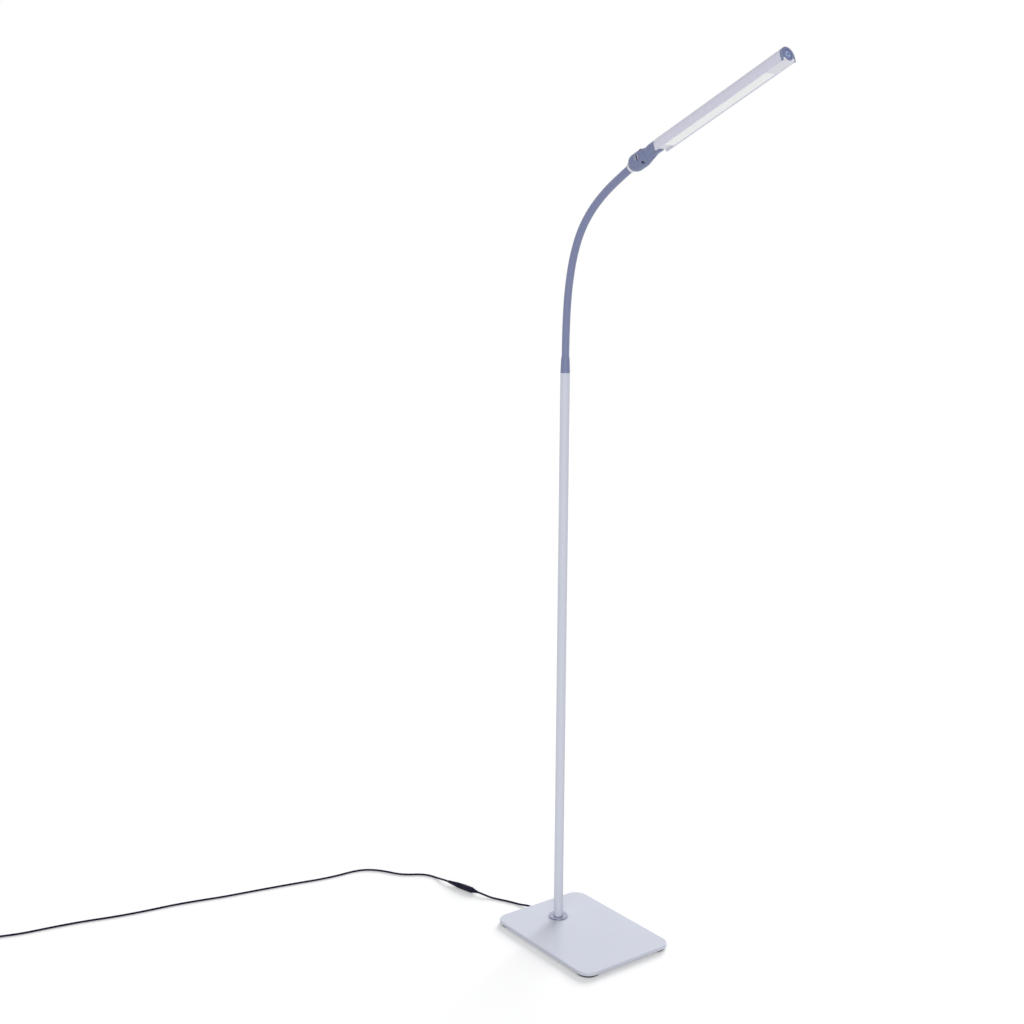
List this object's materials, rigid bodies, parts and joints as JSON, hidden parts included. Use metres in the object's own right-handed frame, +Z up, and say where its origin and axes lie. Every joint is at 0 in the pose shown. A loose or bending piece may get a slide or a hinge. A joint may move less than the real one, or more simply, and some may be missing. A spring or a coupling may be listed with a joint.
{
  "type": "gooseneck reading floor lamp",
  "caption": "Floor-standing reading lamp with a flat base plate, thin pole, bendable gooseneck, ball knuckle and slim straight lighting head.",
  "frame": {"origin": "where the pole's axis meets the floor under the base plate", "axes": "+Z up along the pole, +X from the pole toward the head, +Y across the base plate, with the lamp symmetric about Y = 0 at rest apart from its cord"},
  "size_m": [1.0141, 1.1094, 1.4069],
  "materials": {
    "white_paint": "satin powder coat",
    "steel": "plain",
    "chrome": "bright",
    "black_rubber": "matte",
    "neck_skin": "satin soft skin",
    "neck_core": "wound wire",
    "grey_plastic": "satin",
    "white_plastic": "satin",
    "white_aluminium": "satin",
    "diffuser_plastic": "milky",
    "board": "white board",
    "led": "domed",
    "switch_plastic": "plain",
    "button_plastic": "satin",
    "cord_black": "soft",
    "black_plastic": "fine texture",
    "brass_blade": "plated"
  },
  "bodies": {
    "stand": {"base_plate": "white_paint", "base_feet": "black_rubber", "pole_flange": "steel", "flange_screws": "steel", "pole_collar": "chrome", "pole_tube": "white_paint", "pole_top_bush": "steel", "neck_lower_fitting": "steel", "neck_ferrule": "grey_plastic", "cord_clip": "black_plastic", "cord_clip_screws": "steel", "lamp_lead": "cord_black", "neck_sleeve_0": "neck_skin", "neck_core_0": "neck_core", "lamp_cord": "cord_black", "dc_socket": "black_plastic", "dc_plug": "black_plastic", "adapter_cord": "cord_black", "cord_coil": "cord_black", "adapter_strain_relief": "black_plastic", "adapter_case_bottom": "black_plastic", "adapter_case_top": "black_plastic", "adapter_prongs": "brass_blade"},
    "link_1": {"neck_sleeve_1": "neck_skin", "neck_core_1": "neck_core"},
    "link_2": {"neck_sleeve_2": "neck_skin", "neck_core_2": "neck_core"},
    "link_3": {"neck_sleeve_3": "neck_skin", "neck_core_3": "neck_core"},
    "link_4": {"neck_sleeve_4": "neck_skin", "neck_core_4": "neck_core"},
    "link_5": {"neck_sleeve_5": "neck_skin", "neck_core_5": "neck_core"},
    "link_6": {"neck_sleeve_6": "neck_skin", "neck_core_6": "neck_core"},
    "link_7": {"neck_sleeve_7": "neck_skin", "neck_core_7": "neck_core"},
    "link_8": {"neck_sleeve_8": "neck_skin", "neck_core_8": "neck_core", "ball_stem": "steel"},
    "swivel": {"swivel_ring": "white_plastic"},
    "knuckle": {"knuckle_shell_left": "grey_plastic", "knuckle_shell_right": "grey_plastic", "tension_screw": "steel", "tension_nut": "steel", "shell_screws": "steel"},
    "head": {"head_neck": "grey_plastic", "head_housing": "white_aluminium", "heel_floor": "white_plastic", "led_board": "board", "leds": "led", "diffuser": "diffuser_plastic", "tip_floor": "white_plastic", "end_cap": "grey_plastic", "button_spring": "steel", "switch_board": "board", "tact_switch": "switch_plastic", "housing_screws": "steel", "head_lead": "cord_black"},
    "button": {"power_button": "button_plastic"}
  },
  "joints": [
    {"name": "neck_side_1", "type": "hinge", "parent": "stand", "child": "link_1", "pos_m": [0.00028, 0, 1.0024], "axis": [-0.9999, 0, 0.0131], "range_deg": [-16, 16], "deforming": ["lamp_lead"]},
    {"name": "neck_bend_2", "type": "hinge", "parent": "link_1", "child": "link_2", "pos_m": [0.00148, 0, 1.04478], "axis": [0, 1, 0], "range_deg": [-7, 6], "deforming": ["lamp_lead"]},
    {"name": "neck_side_3", "type": "hinge", "parent": "link_2", "child": "link_3", "pos_m": [0.00499, 0, 1.08702], "axis": [-0.9925, 0, 0.1219], "range_deg": [-16, 16], "deforming": ["lamp_lead"]},
    {"name": "neck_bend_4", "type": "hinge", "parent": "link_3", "child": "link_4", "pos_m": [0.01253, 0, 1.12872], "axis": [0, 1, 0], "range_deg": [-16.8, 14.4], "deforming": ["lamp_lead"]},
    {"name": "neck_side_5", "type": "hinge", "parent": "link_4", "child": "link_5", "pos_m": [0.02623, 0, 1.16879], "axis": [-0.9118, 0, 0.4107], "range_deg": [-16, 16], "deforming": ["lamp_lead"]},
    {"name": "neck_bend_6", "type": "hinge", "parent": "link_5", "child": "link_6", "pos_m": [0.04886, 0, 1.20447], "axis": [0, 1, 0], "range_deg": [-28, 24], "deforming": ["lamp_lead"]},
    {"name": "neck_side_7", "type": "hinge", "parent": "link_6", "child": "link_7", "pos_m": [0.07974, 0, 1.2334], "axis": [-0.5983, 0, 0.8013], "range_deg": [-16, 16], "deforming": ["lamp_lead"]},
    {"name": "neck_bend_8", "type": "hinge", "parent": "link_7", "child": "link_8", "pos_m": [0.11537, 0, 1.25632], "axis": [0, 1, 0], "range_deg": [-11.2, 9.6], "deforming": ["lamp_lead"]},
    {"name": "head_swivel", "type": "hinge", "parent": "link_8", "child": "swivel", "pos_m": [0.16673, 0, 1.28304], "axis": [0.893, 0, 0.4501], "range_deg": [-150, 150], "deforming": ["lamp_lead"]},
    {"name": "head_tilt", "type": "hinge", "parent": "swivel", "child": "knuckle", "pos_m": [0.16673, 0, 1.28304], "axis": [0, 1, 0], "range_deg": [-18, 18], "deforming": ["lamp_lead"]},
    {"name": "head_twist", "type": "hinge", "parent": "knuckle", "child": "head", "pos_m": [0.18727, 0, 1.29092], "axis": [0.9336, 0, 0.3584], "range_deg": [-90, 90], "deforming": ["lamp_lead"]},
    {"name": "button_press", "type": "slide", "parent": "head", "child": "button", "axis": [-0.9336, 0, -0.3584], "range_m": [0, 0.0008], "stiffness_N_per_m": 1500, "deforming": ["button_spring"]}
  ],
  "couplings": [
    {"joint": "neck_side_1", "follows": "neck_side_5", "ratio": 1},
    {"joint": "neck_bend_2", "follows": "neck_bend_6", "ratio": 0.25},
    {"joint": "neck_side_3", "follows": "neck_side_5", "ratio": 1},
    {"joint": "neck_bend_4", "follows": "neck_bend_6", "ratio": 0.6},
    {"joint": "neck_side_7", "follows": "neck_side_5", "ratio": 1},
    {"joint": "neck_bend_8", "follows": "neck_bend_6", "ratio": 0.4}
  ]
}
